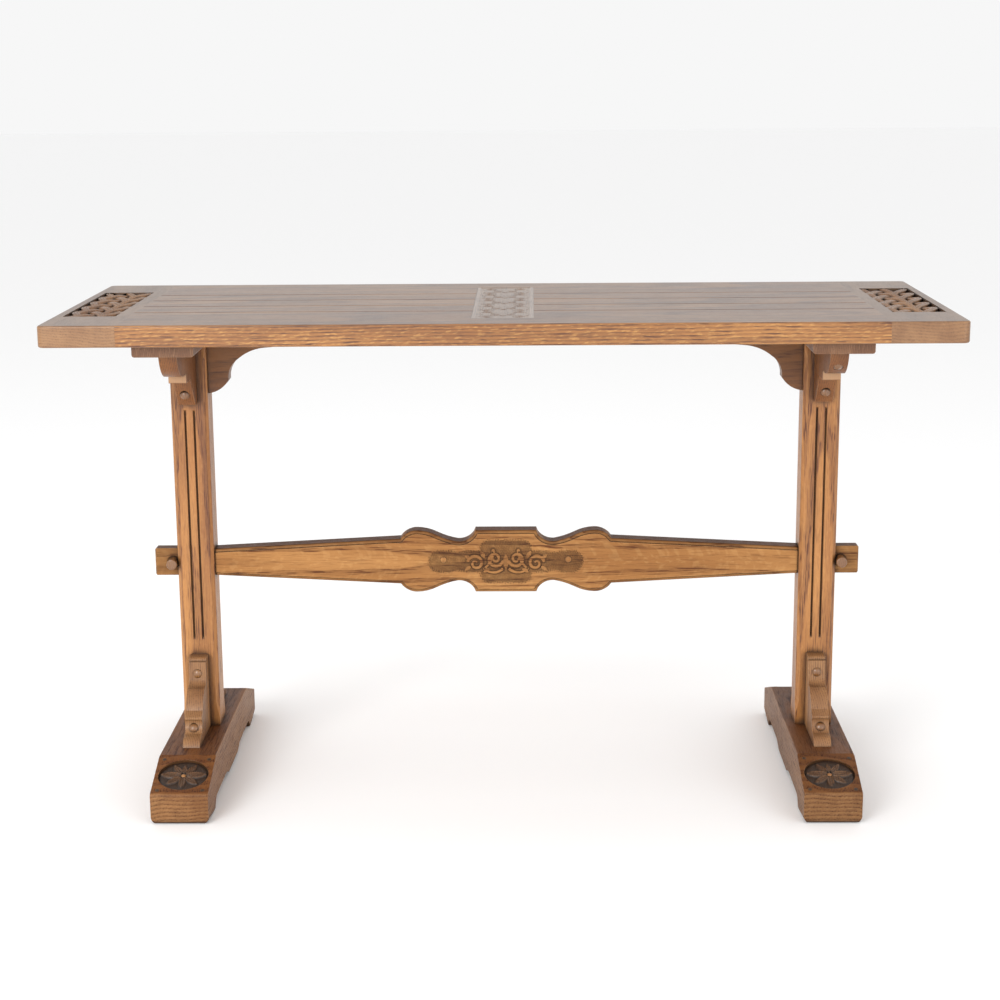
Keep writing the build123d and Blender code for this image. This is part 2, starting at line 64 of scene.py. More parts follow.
# ---- camera ----
CAMERA_PLACE = (0.0412, -3.0459, 1.1252)
CAMERA_TURN = (-0.942, 12.603, 0.439)  # yaw, downward pitch and roll, in degrees
CAMERA_LENS = 70.65
CAMERA_SENSOR = 36


def make_camera():
    """A long lens a little above the top, looking at the front of the table."""
    yaw, pitch, roll = (math.radians(angle) for angle in CAMERA_TURN)
    forward = Vector((math.sin(yaw) * math.cos(pitch), math.cos(yaw) * math.cos(pitch),
                      -math.sin(pitch)))
    level = Vector((math.cos(yaw), -math.sin(yaw), 0))
    down = forward.cross(level)
    right = math.cos(roll) * level + math.sin(roll) * down
    up = math.sin(roll) * level - math.cos(roll) * down
    camera = bpy.data.objects.new("camera", bpy.data.cameras.new("camera"))
    bpy.context.scene.collection.objects.link(camera)
    turn = Matrix((right, up, -forward)).transposed().to_4x4()
    camera.matrix_world = Matrix.Translation(CAMERA_PLACE) @ turn
    camera.data.sensor_width = CAMERA_SENSOR
    camera.data.lens = CAMERA_LENS
    bpy.context.scene.camera = camera


# ---- node helpers ----
class Nodes:
    """Adds nodes to a tree. An input given as a socket is linked, and any other value is set."""

    def __init__(self, tree):
        self.tree = tree

    def add(self, kind, inputs=None, **settings):
        node = self.tree.nodes.new("ShaderNode" + kind)
        for name, value in settings.items():
            setattr(node, name, value)
        for name, value in (inputs or {}).items():
            if isinstance(value, bpy.types.NodeSocket):
                self.tree.links.new(value, node.inputs[name])
            else:
                node.inputs[name].default_value = value
        return node

    def math(self, operation, a, b=0.0, clamp=False):
        return self.add("Math", {0: a, 1: b}, operation=operation, use_clamp=clamp).outputs[0]

    def times(self, a, b):
        return self.math("MULTIPLY", a, b)

    def plus(self, a, b, share, clamp=False):
        """a + b * share"""
        return self.math("ADD", a, self.times(b, share), clamp)

    def vector(self, operation, a, b):
        return self.add("VectorMath", {0: a, 1: b}, operation=operation).outputs["Vector"]

    def dot(self, a, b):
        return self.add("VectorMath", {0: a, 1: b}, operation="DOT_PRODUCT").outputs["Value"]

    def split(self, vector):
        return self.add("SeparateXYZ", {0: vector}).outputs

    def mix(self, factor, a, b, blend="MIX"):
        node = self.add("Mix", {0: factor, 6: a, 7: b}, data_type="RGBA", blend_type=blend)
        return node.outputs[2]

    def noise(self, vector, scale, detail=2.0, rough=0.5):
        """Noise with its own scale on each axis, in cycles per metre."""
        scaled = self.vector("MULTIPLY", vector, scale)
        inputs = {"Vector": scaled, "Scale": 1.0, "Detail": detail, "Roughness": rough}
        return self.add("TexNoise", inputs).outputs["Fac"]

    def span(self, value, low, high, out_low=0.0, out_high=1.0):
        """A smooth step from out_low at low to out_high at high."""
        inputs = {"Value": value, "From Min": low, "From Max": high,
                  "To Min": out_low, "To Max": out_high}
        return self.add("MapRange", inputs, interpolation_type="SMOOTHSTEP").outputs["Result"]


def rgba(colour, share=1.0):
    return tuple(channel * share for channel in colour) + (1.0,)


def start_material(name):
    """A new material with an empty tree, and the helper that fills the tree."""
    material = bpy.data.materials.new(name)
    material.use_nodes = True
    material.node_tree.nodes.clear()
    return material, Nodes(material.node_tree)


# ---- oak ----
LIGHT = (0.375, 0.172, 0.054)
MIDDLE = (0.262, 0.109, 0.032)
DARK = (0.080, 0.025, 0.009)
PALE = (0.55, 0.30, 0.108)
# Near-black brown of the stain and painted shade in hollows and on deeper parts.
STAIN_AND_SHADE = (0.022, 0.011, 0.006)
# Pale tone of rubbed edges, and of the painted highlight strip.
WEAR_AND_HIGHLIGHT = (0.50, 0.30, 0.16)
# Places across one growth ring, and how dark each is.
RING_TONES = ((0.3, 0.62), (0.55, 0.12), (0.9, 0.05))
EDGE_RADIUS = 1.4 * MM


def make_grain_group():
    """Solid oak figure: rings round a pith, pore dashes, ray flecks and streaks. X is the grain."""
    group = bpy.data.node_groups.new("oak_figure", "ShaderNodeTree")
    face = group.interface
    for name in ("Place", "Seed", "Pith"):
        face.new_socket(name, in_out="INPUT", socket_type="NodeSocketVector")
    face.new_socket("Ring", in_out="INPUT", socket_type="NodeSocketFloat")
    for name in ("Dark", "Fleck", "Broad", "Pore"):
        face.new_socket(name, in_out="OUTPUT", socket_type="NodeSocketFloat")
    g = Nodes(group)
    start = group.nodes.new("NodeGroupInput").outputs
    end = group.nodes.new("NodeGroupOutput").inputs
    place = g.vector("ADD", start["Place"], start["Seed"])

    # The rings: distance from the pith, made uneven along and across the grain.
    sway = g.math("SUBTRACT", g.noise(place, (2.2, 11, 11), 1.0), 0.5)
    ripple = g.math("SUBTRACT", g.noise(place, (11, 55, 55), 2.0), 0.5)
    parts = g.split(g.vector("SUBTRACT", start["Place"], start["Pith"]))
    across = g.math("SQRT", g.math("ADD", g.times(parts[1], parts[1]), g.times(parts[2], parts[2])))
    radius = g.plus(across, sway, 0.022)
    radius = g.plus(radius, ripple, 0.0026)
    radius = g.plus(radius, parts[0], 0.012)
    phase = g.math("FRACT", g.math("DIVIDE", radius, start["Ring"]))
    ring = g.add("ValToRGB", {0: phase})
    stops = ring.color_ramp.elements
    for stop, place_on_ramp in ((stops[0], 0.0), (stops[1], 1.0)):
        stop.position, stop.color = place_on_ramp, rgba((1, 1, 1))
    for place_on_ramp, tone in RING_TONES:
        stops.new(place_on_ramp).color = rgba((tone, tone, tone))

    # The pores, as dashes along the grain, and broad streaks.
    dashes = g.span(g.noise(place, (30, 620, 620), 2.0), 0.5, 0.66)
    pores = g.span(g.noise(place, (120, 2300, 2300), 1.0), 0.52, 0.66)
    streak = g.noise(place, (1.6, 42, 42), 3.0)
    dark = g.times(ring.outputs["Color"], g.plus(0.42, dashes, 0.75))
    dark = g.plus(dark, dashes, 0.2)
    dark = g.plus(dark, pores, 0.1)
    dark = g.plus(dark, g.span(streak, 0.5, 0.72), 0.25, clamp=True)

    # The ray flecks: thin round the pith, longest away from it, and slanting.
    angle = g.times(g.math("ARCTAN2", parts[2], parts[1]), across)
    slant = g.plus(parts[0], across, 1.5)
    ray = g.add("CombineXYZ", {0: slant, 1: across, 2: angle}).outputs[0]
    fleck = g.noise(g.vector("ADD", ray, start["Seed"]), (105, 40, 230), 1.5)

    group.links.new(dark, end["Dark"])
    group.links.new(g.span(fleck, 0.52, 0.66), end["Fleck"])
    group.links.new(g.noise(place, (3.1, 17, 17), 2.0), end["Broad"])
    group.links.new(g.math("MAXIMUM", pores, g.times(dashes, 0.6)), end["Pore"])
    return group


def name_seed(name):
    """A fixed offset worked out from a piece's name, so that each board gets its own figure."""
    total = sum(ord(letter) * (place + 3) for place, letter in enumerate(name))
    return (0.37 * (total % 89), 0.53 * (total % 61), 0.71 * (total % 43))


def centre_of(node):
    low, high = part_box(node)
    return tuple((a + b) / 2 for a, b in zip(low, high))


def oak(name, grain, node=None, share=1.0, tint=(1, 1, 1), pith=(0, 0.30, 0.05), ring=0.0032,
        fleck=0.5, figure=1.0, patina_and_shade=0.8, reach=0.010, open_at=0.88, shut_at=0.35, wear=0.5,
        rough=0.36, coat=0.2, gloss=0.4, painted_top_shade=(0.75, 0.75, 0.75), depth_stain_and_shade=None, painted_lit_band=None):
    """Waxed oak for one piece.

    grain is the axis the fibres follow. The figure is placed from the centre of the CAD node, which is
    name unless node says otherwise, and pith is measured along the grain and then across it.
    share and tint scale the wood's colours, and painted_top_shade scales them again on level faces that look
    up, as painted shade.
    fleck and figure are the strength of the ray flecks and of the dark grain.
    patina_and_shade is the darkening in hollows, partly the old wood's own dark finish and partly painted
    shade: none where open_at of the sky within reach shows, full at shut_at.
    wear is how far the edges are rubbed pale. rough, coat and gloss set the shine.
    depth_stain_and_shade is (direction, high, low, amount): a darkening, partly stain and partly painted
    shade, that starts at high along the direction and is complete at low. Along (0, 1, 0) it counts both
    ways from the centre, so it serves front and back.
    painted_lit_band is (axis, low, high, amount): a painted highlight, a pale strip on the faces that look
    forward or back.
    """
    material, g = start_material("oak_" + name)
    centre = centre_of(node or name)
    spot = g.vector("SUBTRACT", g.add("TexCoord").outputs["Object"], centre)
    parts = g.split(spot)
    order = {"X": (0, 1, 2), "Y": (1, 0, 2), "Z": (2, 0, 1)}[grain]
    place = g.add("CombineXYZ", {i: parts[axis] for i, axis in enumerate(order)}).outputs[0]
    wood = g.add("Group", {"Place": place, "Seed": name_seed(name), "Pith": pith, "Ring": ring},
                 node_tree=GRAIN).outputs
    light, middle, dark, pale = (
        rgba(tuple(c * t for c, t in zip(colour, tint)), share)
        for colour in (LIGHT, MIDDLE, DARK, PALE))
    plain = g.add("NewGeometry").outputs["Normal"]
    facing = g.split(plain)

    # The wood itself: light and middle tones, flecks on upright faces only, then the dark grain, then
    # painted shade on level faces that look up.
    upright = g.span(g.math("ABSOLUTE", facing[2]), 0.8, 0.3)
    colour = g.mix(g.span(wood["Broad"], 0.3, 0.7), light, middle)
    colour = g.mix(g.times(g.times(wood["Fleck"], fleck), upright), colour, pale)
    colour = g.mix(g.times(wood["Dark"], 0.95 * figure), colour, dark)
    # Painted shade: level faces that look up are darkened and tinted.
    colour = g.mix(g.span(facing[2], 0.75, 0.97), colour, rgba(painted_top_shade), "MULTIPLY")

    # How much of an edge, and how open to the air, each point is.
    bevel = g.add("Bevel", {"Radius": EDGE_RADIUS}, samples=4).outputs[0]
    edge = g.span(g.dot(bevel, plain), 0.98, 0.80)
    shade = g.add("AmbientOcclusion", {"Distance": reach}, samples=6).outputs["AO"]
    hollow_patina_and_shade = g.span(shade, open_at, shut_at)

    # Stain and painted shade on deeper parts, the painted highlight strip, rubbed edges, and the old finish
    # with painted shade in hollows, in that order.
    # Partly stain, partly painted shade: parts lying deeper along the direction are darkened.
    if depth_stain_and_shade is not None:
        line, high, low, amount = depth_stain_and_shade
        along = g.dot(spot, line)
        if line == (0, 1, 0):
            along = g.math("ABSOLUTE", along)
        uneven = g.math("SUBTRACT", g.noise(spot, (130, 130, 130), 2.0), 0.5)
        along = g.plus(along, uneven, 0.0009)
        colour = g.mix(g.times(g.span(along, high, low), amount), colour, rgba(STAIN_AND_SHADE))
    # Painted highlight: a pale strip on faces that look forward or back, where light catches them.
    if painted_lit_band is not None:
        axis, low, high, amount = painted_lit_band
        fade = 2 * MM
        inside = g.times(g.span(parts[axis], low, low + fade), g.span(parts[axis], high, high - fade))
        front = g.span(g.math("ABSOLUTE", facing[1]), 0.8, 0.95)
        colour = g.mix(g.times(g.times(inside, front), amount), colour, rgba(WEAR_AND_HIGHLIGHT, 1.2))
    rubbed = g.times(edge, g.times(g.span(shade, 0.6, 0.95), wear))
    rubbed = g.times(rubbed, g.span(g.noise(spot, (90, 90, 90), 3.0), 0.3, 0.62))
    colour = g.mix(rubbed, colour, rgba(WEAR_AND_HIGHLIGHT))
    # Partly the old wood's dark finish in hollows, partly painted shade: points that little sky reaches are
    # darkened towards near black.
    colour = g.mix(g.times(hollow_patina_and_shade, patina_and_shade), colour, rgba(STAIN_AND_SHADE))

    shine = g.plus(rough, wood["Pore"], 0.16)
    shine = g.plus(shine, g.noise(spot, (35, 35, 35), 3.0), 0.12)
    height = g.plus(g.times(wood["Pore"], -0.6), wood["Dark"], -0.4)
    bump = g.add("Bump", {"Strength": 0.35, "Distance": 0.3 * MM, "Height": height, "Normal": bevel})
    shader = g.add("BsdfPrincipled", {
        "Base Color": colour, "Roughness": shine, "Normal": bump.outputs[0],
        "Coat Weight": coat, "Coat Roughness": 0.28, "Specular IOR Level": gloss})
    g.add("OutputMaterial", {"Surface": shader.outputs[0]})
    return material


def steel():
    """Dulled steel with fine turning marks."""
    material, g = start_material("screw_steel")
    spot = g.add("TexCoord").outputs["Object"]
    marks = g.noise(spot, (700, 700, 3200), 3.0)
    colour = g.mix(g.span(marks, 0.35, 0.7), rgba((0.42, 0.41, 0.40)), rgba((0.20, 0.18, 0.16)))
    rough = g.span(g.noise(spot, (900, 900, 900), 2.0), 0.2, 0.8, 0.28, 0.5)
    bump = g.add("Bump", {"Strength": 0.2, "Distance": 0.1 * MM, "Height": marks})
    shader = g.add("BsdfPrincipled", {
        "Base Color": colour, "Roughness": rough, "Metallic": 1.0, "Normal": bump.outputs[0]})
    g.add("OutputMaterial", {"Surface": shader.outputs[0]})
    return material


def dress(node, material):
    """Give a CAD node, or a new piece, one material."""
    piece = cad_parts[node] if isinstance(node, str) else node
    piece.data.materials.clear()
    piece.data.materials.append(material)


# ---- carved surfaces ----
def grid_piece(name, points, material, keep=None):
    """A smooth surface on the table body, through a rows x columns x 3 array of points.

    A cell stays if keep is true at any of its corners.
    """
    rows, columns = points.shape[:2]
    index = np.arange(rows * columns).reshape(rows, columns)
    corners = [index[:-1, :-1], index[:-1, 1:], index[1:, 1:], index[1:, :-1]]
    cells = np.stack(corners, -1).reshape(-1, 4)
    if keep is not None:
        inside = keep[:-1, :-1] | keep[:-1, 1:] | keep[1:, 1:] | keep[1:, :-1]
        cells = cells[inside.reshape(-1)]
    used, cells = np.unique(cells, return_inverse=True)
    mesh = bpy.data.meshes.new(name)
    mesh.from_pydata(points.reshape(-1, 3)[used].tolist(), [], cells.reshape(-1, 4).tolist())
    mesh.shade_smooth()
    piece = bpy.data.objects.new(name, mesh)
    bpy.context.scene.collection.objects.link(piece)
    dress(piece, material)
    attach(piece, TABLE_BODY)
    return piece


def ridge(x, y, path, width):
    """How high a rounded cord along a path stands, from 0 to 1. The path is in millimetres."""
    nearest = np.full(x.shape, 9.0)
    for (px, py), share in path:
        nearest = np.minimum(nearest, np.hypot(x - px, y - py) / (width * share))
    return np.sqrt(np.clip(1 - nearest ** 2, 0, 1))


def knob(x, y, place, width):
    """A round knob at one place, from 0 to 1."""
    return ridge(x, y, [(place, 1)], width)


def curl(cx, cy, start, turns, radius, flip=1):
    """A spiral that winds in towards a centre and gets thinner."""
    path = []
    last = 45
    for step in range(last + 1):
        t = step / last
        angle = math.radians(start) + flip * turns * 2 * math.pi * t
        reach = radius * (1 - 0.82 * t)
        path.append(((cx + reach * math.cos(angle), cy + reach * math.sin(angle)), 1 - 0.35 * t))
    return path


def bow(a, b, sag):
    """A curved stem between two points, which gets thinner. sag is its height in the middle."""
    path = []
    last = 29
    thin = 0.7
    for step in range(last + 1):
        t = step / last
        lift = sag * 4 * t * (1 - t)
        x = a[0] + (b[0] - a[0]) * t - lift * (b[1] - a[1]) / math.dist(a, b)
        y = a[1] + (b[1] - a[1]) * t + lift * (b[0] - a[0]) / math.dist(a, b)
        path.append(((x, y), 1 - (1 - thin) * t))
    return path


def leaf(x, y, base, angle, length, width):
    """A hollowed leaf with a raised rim and a middle vein, from 0 to 1. width is half its width."""
    rim = 0.78
    turn = math.radians(angle)
    along = ((x - base[0]) * math.cos(turn) + (y - base[1]) * math.sin(turn)) / length
    side = -(x - base[0]) * math.sin(turn) + (y - base[1]) * math.cos(turn)
    half = width * np.sin(np.pi * np.clip(along, 0, 1) ** 0.8) ** 0.75 + 1e-6
    share = np.abs(side) / half
    form = np.where(share < rim, 0.5 + 0.5 * (share / rim) ** 2, (1 - share) / 0.22)
    form = form + 0.35 * np.exp(-(side / 0.9) ** 2)
    return np.where((along > 0) & (along < 1) & (share < 1), np.clip(form, 0, 1), 0)


def tooling(x, y, seed):
    """Small dents from the carver's tools, from 0 to 1."""
    random = np.random.default_rng(seed)
    waves = np.zeros(x.shape)
    for _ in range(9):
        turn, size, start = random.uniform(0, np.pi), random.uniform(2.2, 5.0), random.uniform(0, 6.3, 2)
        a = x * np.cos(turn) + y * np.sin(turn)
        b = -x * np.sin(turn) + y * np.cos(turn)
        waves += (np.sin(2 * np.pi * a / size + start[0])
                  * np.sin(2 * np.pi * b / (size * 1.4) + start[1]))
    return np.clip(0.5 + waves / 6, 0, 1)


def rounded_box(x, y, half_x, half_y, radius):
    """Distance outside a box with rounded corners, negative inside."""
    past_x = np.maximum(np.abs(x) - (half_x - radius), 0)
    past_y = np.maximum(np.abs(y) - (half_y - radius), 0)
    return np.hypot(past_x, past_y) - radius


# ---- plaque ----
# Painted shade darkens the plaque's level face and its sunk ground.
PLAQUE_LOOK = dict(share=1.15, tint=(0.9, 1.05, 1.35), fleck=0.2, patina_and_shade=0.6, reach=0.003, wear=0.6,
                   coat=0.9, painted_top_shade=(0.6, 0.6, 0.6), open_at=0.97, shut_at=0.6)
FLOWER_STEP = 74


def carve_plaque():
    """The plaque in the middle of the top: a plain border round a row of flowers, curls and stems."""
    low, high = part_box("centre_plaque")
    half_x, half_y = (high[0] - low[0]) / 2 / MM, (high[1] - low[1]) / 2 / MM
    x, y = np.meshgrid(np.linspace(-half_x, half_x, 116), np.linspace(-half_y, half_y, 500))
    form = np.zeros(x.shape)
    for row in range(-2, 3):
        middle = FLOWER_STEP * row
        for petal in range(6):
            form = np.maximum(form, leaf(x, y - middle, (0, 0), 60 * petal + 30, 21, 6.2))
        form = np.maximum(form, knob(x, y, (0, middle), 4.6))
        for side in (-1, 1):
            for flip in (-1, 1):
                scroll = curl(side * 25, middle + flip * 27, 90 * flip, 1.5, 10.5, side * flip)
                form = np.maximum(form, 0.9 * ridge(x, y, scroll, 2.2))
            stem = bow((side * 35, middle + 22), (side * 35, middle - 22), 3)
            form = np.maximum(form, 0.8 * ridge(x, y, stem, 1.8))
    edge = np.minimum(half_x - np.abs(x), half_y - np.abs(y))
    border = np.clip((6.0 - edge) / 0.9, 0, 1)
    ground = -0.9 + 0.25 * tooling(x, y, 5)
    height = np.where(border > 0, ground + (0 - ground) * border, ground + 0.75 * form)
    height = height - 0.5 * np.clip(0.8 - edge, 0, 1)
    points = np.stack([x * MM, y * MM, high[2] + height * MM], -1)
    piece = grid_piece("plaque_carving", points, oak("centre_plaque", "Y", **PLAQUE_LOOK))
    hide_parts("centre_plaque")


# ---- stretcher ----
# The same wood on the rail and on its carving, so that the grain runs on from one to the other.
# Painted shade: the rail's level tops are darkened and browned, and it is darkened fully in hollows.
STRETCHER_LOOK = dict(share=1.24, tint=(1, 1.06, 1.15), pith=(0, 0.028, 0.0), ring=0.0058, fleck=0.15,
                      wear=0.7, coat=0.0, gloss=0.12, painted_top_shade=(0.45, 0.36, 0.28), shut_at=0.62, patina_and_shade=1.0)
# Partly stain, partly painted shade on what lies set back behind the rail's face, and on the relief's lower
# parts.
RAIL_LOOK = dict(reach=0.0042, open_at=0.96, depth_stain_and_shade=((0, 1, 0), 0.0167, 0.0155, 0.30))
RELIEF_LOOK = dict(reach=0.0034, open_at=0.97, depth_stain_and_shade=((0, 1, 0), 0.01715, 0.0158, 0.62))
# The outline of the sunk ground, as half sizes and corner radii in millimetres.
BAR = (125, 20, 19.0)
TABLET = (43, 37, 16)
GROUND_DEPTH = 1.4
# One half of the relief. Curls: centre, start angle, turns, radius, width.
# Bows: two ends, sag, width. Leaves: base, angle, length, half width.
CURLS = (((17, 4), 200, 1.4, 13, 3.1), ((48, -3), 20, 1.3, 13, 3.1))
BOWS = (((20, 18), (35, -12), -4, 2.9), ((6, -13), (31, -15), -4, 2.6))
LEAVES = (((34, 6), 62, 13, 3.6), ((26, -12), -28, 12, 3.2),
          ((56, 3), 40, 13, 3.4), ((56, -8), -35, 12, 3.2))
EYES = ((17, 4), (45, -3), (34, -11), (21, 15))


def corner_bites(x, y):
    """Distance outside the four round bites beside the tablet, negative inside."""
    return np.hypot(np.abs(x) - 77, np.abs(y) - 39) - 22


def carve_stretcher(material):
    """The relief across the middle of the stretcher: paired scrolls, leaves, drilled eyes and two bosses."""
    low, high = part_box("stretcher")
    rail_z = (low[2] + high[2]) / 2
    face = low[1]
    x, y = np.meshgrid(np.linspace(-127, 127, 430), np.linspace(-38, 38, 130))
    form = np.zeros(x.shape)
    eyes = np.zeros(x.shape)
    bosses = np.zeros(x.shape)
    stems = []
    for side in (-1, 1):
        half = [(curl(*centre, *shape), width) for centre, *shape, width in CURLS]
        half += [(bow(*ends, sag), width) for *ends, sag, width in BOWS]
        for path, width in half:
            stems.append(([((side * px, py), share) for (px, py), share in path], width))
        for base, angle, length, width in LEAVES:
            form = np.maximum(form, leaf(side * x, y, base, angle, length, width))
        for eye_x, eye_y in EYES:
            eyes = np.maximum(eyes, knob(x, y, (side * eye_x, eye_y), 1.5))
        bosses = np.maximum(bosses, knob(x, y, (side * 99.5, 3), 5.0))
    for path, width in stems:
        form = np.maximum(form, ridge(x, y, path, width))
    form = np.maximum(form, leaf(x, y, (0, -12), 90, 25, 4.6))
    ditch = np.zeros(x.shape)
    for path, width in stems:
        ditch = np.maximum(ditch, ridge(x, y, path, width * 1.75))
    ground = 0.40 + 0.35 * tooling(x, y, 11) - 0.75 * np.where(form > 0, 0, ditch)
    height = np.maximum(ground + 0.85 * form - 1.2 * eyes, 1.45 * bosses)

    # The sunk ground slopes up unevenly to the face round its outline, which has two round bites
    # above and two below. The grid stops a little outside the outline.
    whole = np.minimum(rounded_box(x, y, *BAR), rounded_box(x, y, *TABLET))
    inside = np.minimum(-whole, corner_bites(x, y))
    cut = np.maximum(inside, np.minimum(TABLET[0] - np.abs(x), TABLET[1] - np.abs(y)))
    cut = np.minimum(cut, corner_bites(x, y))
    rise = np.clip(1 - (inside + 5 * (tooling(x, y, 7) - 0.6)) / 4.0, 0, 1)
    rise = np.where(inside < 0.6, 1, rise)
    bank = rise ** 2 * (3 - 2 * rise)
    height = np.clip(height, 0.02, None)
    height = np.maximum(height, height + (GROUND_DEPTH + 0.03 - height) * bank)
    deep = np.where(cut < 0, -0.03, GROUND_DEPTH - height)
    points = np.stack([x * MM, face + deep * MM, rail_z + y * MM], -1)[::-1]
    piece = grid_piece("stretcher_carving", points, material, keep=(cut > -0.7)[::-1])


# ---- rosettes ----
SLOPE_RUN, SLOPE_RISE = 91, 31  # the slope on top of each foot, in millimetres
SLOPE_START_Y, SLOPE_START_Z = 0.166, 0.078
ROSETTE_Y = 0.212
ROSETTE_HALF = (38.45, 35.45)
# Leaves of a rosette: base, angle, length, half width.
ROSETTE_LEAVES = (((3, 1), 4, 33, 7.5), ((-3, 1), 176, 33, 7.5), ((4, 4), 58, 25, 5.6),
                  ((-4, 4), 122, 25, 5.6), ((0, 5), 90, 20, 4.6), ((3, -3), -38, 27, 6),
                  ((-3, -3), 218, 27, 6), ((0, -4), -90, 25, 6))


def carve_rosette(node, foot_node, front):
    """An oval medallion on a foot: eight leaves on a rough ground darkened by stain and painted shade, and a
    nub in the middle.
    """
    sign = -1 if front else 1
    foot_x = centre_of(foot_node)[0]
    foot_z = SLOPE_START_Z - (ROSETTE_Y - SLOPE_START_Y) * SLOPE_RISE / SLOPE_RUN
    middle = Vector((foot_x, sign * ROSETTE_Y, foot_z))
    long = math.hypot(SLOPE_RUN, SLOPE_RISE)
    up = Vector((0, -sign * SLOPE_RUN / long, SLOPE_RISE / long))
    out = Vector((0, sign * SLOPE_RISE / long, SLOPE_RUN / long))
    across = Vector((-sign, 0, 0))

    def on_slope(x, y, height):
        return (np.array(middle) + x[..., None] * MM * np.array(across)
                + y[..., None] * MM * np.array(up) + height[..., None] * MM * np.array(out))

    turn = np.linspace(0, 2 * np.pi, 121)
    share, angle = np.meshgrid(np.linspace(0, 1, 62), turn, indexing="ij")
    x = ROSETTE_HALF[0] * share * np.cos(angle)
    y = ROSETTE_HALF[1] * share * np.sin(angle)
    form = np.zeros(x.shape)
    for base, lean, length, width in ROSETTE_LEAVES:
        strength = 1.0 if lean > 0 else 0.75
        form = np.maximum(form, strength * leaf(x, y, base, lean, length, width))
    ground = -4.2 + 0.7 * tooling(x, y, 3) - 1.0 * np.clip((share - 0.9) / 0.1, 0, 1)
    height = ground + 3.6 * form * np.clip((1.0 - share) / 0.08, 0, 1)
    level = out.dot(middle - Vector(centre_of(node)))
    # The sunk ground is darkened by how deep it lies and in hollows, partly stain and partly painted shade,
    # so the leaves read lighter.
    material = oak(node, "Y", share=0.52, tint=(1, 1.0, 1.1), fleck=0.1, patina_and_shade=0.97, rough=0.4,
                   depth_stain_and_shade=(tuple(out), level - 0.0006, level - 0.0040, 0.9), reach=0.009,
                   open_at=0.97, shut_at=0.6)
    piece = grid_piece(node + "_carving", on_slope(x, y, height), material)
    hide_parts(node)

    share, angle = np.meshgrid(np.linspace(0, 1, 12), turn, indexing="ij")
    x, y = 4.4 * share * np.cos(angle), 4.4 * share * np.sin(angle)
    height = -3.6 + 3.2 * np.sqrt(1 - 0.98 * share ** 2)
    material = oak(node + "_nub", "Y", node=node, share=1.2, figure=0.4, patina_and_shade=0.9)
    nub = grid_piece(node + "_nub", on_slope(x, y, height), material)


# ---- plaited insets ----
FRET_HALF_X, FRET_HALF_Y = 39.5, 154.0  # half of the opening in the end board
FRET_REPEAT = 61.6  # a quarter of a strand's period
FRET_SWING = 33.7
FRET_BOTTOM = -12.9
RIM_WIDTH = 5.0
RIM_LEDGE = 7.0 * MM
# Height of a strand at each eighth of its period. It turns back at 0 and 4 and crosses others between.
WEAVE = (0.9, 1, -1, 1, 0.9, -1, 1, -1, 0.9)


def weave_height(place):
    """The height of one strand along its way, from -1 to 1, for places counted in periods."""
    keys = np.array(WEAVE, float)
    eighth = np.mod(place, 1) * 8
    step = np.floor(eighth).astype(int)
    part = eighth - step
    blend = 0.5 - 0.5 * np.cos(np.pi * part)
    return keys[step] * (1 - blend) + keys[step + 1] * blend


def fret_rim(node, material, middle, bottom, ledge):
    """The rim round a fretwork that holds it in the rebate under the end board."""
    inner = -1.0
    profile = ((inner, bottom), (inner, ledge - 0.6 * MM), (-0.4, ledge), (RIM_WIDTH, ledge),
               (RIM_WIDTH, bottom), (inner, bottom))
    rows = []
    for side_x, side_y in ((-1, -1), (1, -1), (1, 1), (-1, 1), (-1, -1)):
        rows.append([(middle[0] + side_x * (FRET_HALF_X + out) * MM,
                      middle[1] + side_y * (FRET_HALF_Y + out) * MM, z) for out, z in profile])
    rim = grid_piece(node + "_rim", np.array(rows), material)
    rim.data.shade_flat()


def carve_fretwork(node, material):
    """The plaited inset: four reeded strands that pass over and under each other."""
    low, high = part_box(node)
    middle = ((low[0] + high[0]) / 2, (low[1] + high[1]) / 2)
    across = np.linspace(-1, 1, 19)
    crown = 1.0 - 0.75 * np.abs(across) ** 2.6
    for groove in (-0.36, 0.36):
        crown = crown - 0.8 * np.exp(-((across - groove) / 0.15) ** 2)
    stations = np.linspace(-FRET_HALF_Y - 14, FRET_HALF_Y + 14, 300)
    window = np.linspace(-0.035, 0.035, 15)
    for number in range(4):
        place = (stations - FRET_REPEAT / 2 - FRET_REPEAT * number) / (4 * FRET_REPEAT) + 0.5
        # A zigzag from side to side, with its turns rounded by averaging over the window.
        wave = np.zeros(stations.shape)
        for shift in window:
            wave += np.abs(np.mod(place + shift, 1) - 0.5) * -4 + 1
        line = FRET_SWING * wave / len(window) * 1.07
        slope = np.gradient(line, stations)
        long = np.hypot(1, slope)
        lift = weave_height(place)
        base = FRET_BOTTOM + 0.3 * (number % 2)
        rows = []
        for index in range(len(stations)):
            half = 5.0 + 1.0 * (abs(line[index]) / FRET_SWING) ** 3
            px = line[index] + half * across / long[index]
            py = stations[index] - half * across * slope[index] / long[index]
            pz = 2.1 + 2.1 * (lift[index] - 1) + 2.0 * (crown - 1)
            x = np.concatenate([[px[0]], px, [px[-1], px[0]]])
            y = np.concatenate([[py[0]], py, [py[-1], py[0]]])
            z = np.concatenate([[base], pz, [base, base]])
            rows.append(np.stack([np.clip(x, -FRET_HALF_X - 0.2, FRET_HALF_X + 0.2),
                                  np.clip(y, -FRET_HALF_Y, FRET_HALF_Y), z], -1))
        points = np.array(rows) * MM + np.array([middle[0], middle[1], high[2]])
        piece = grid_piece("%s_strand_%d" % (node, number + 1), points, material)
    fret_rim(node, material, middle, low[2], low[2] + RIM_LEDGE)
    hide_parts(node)


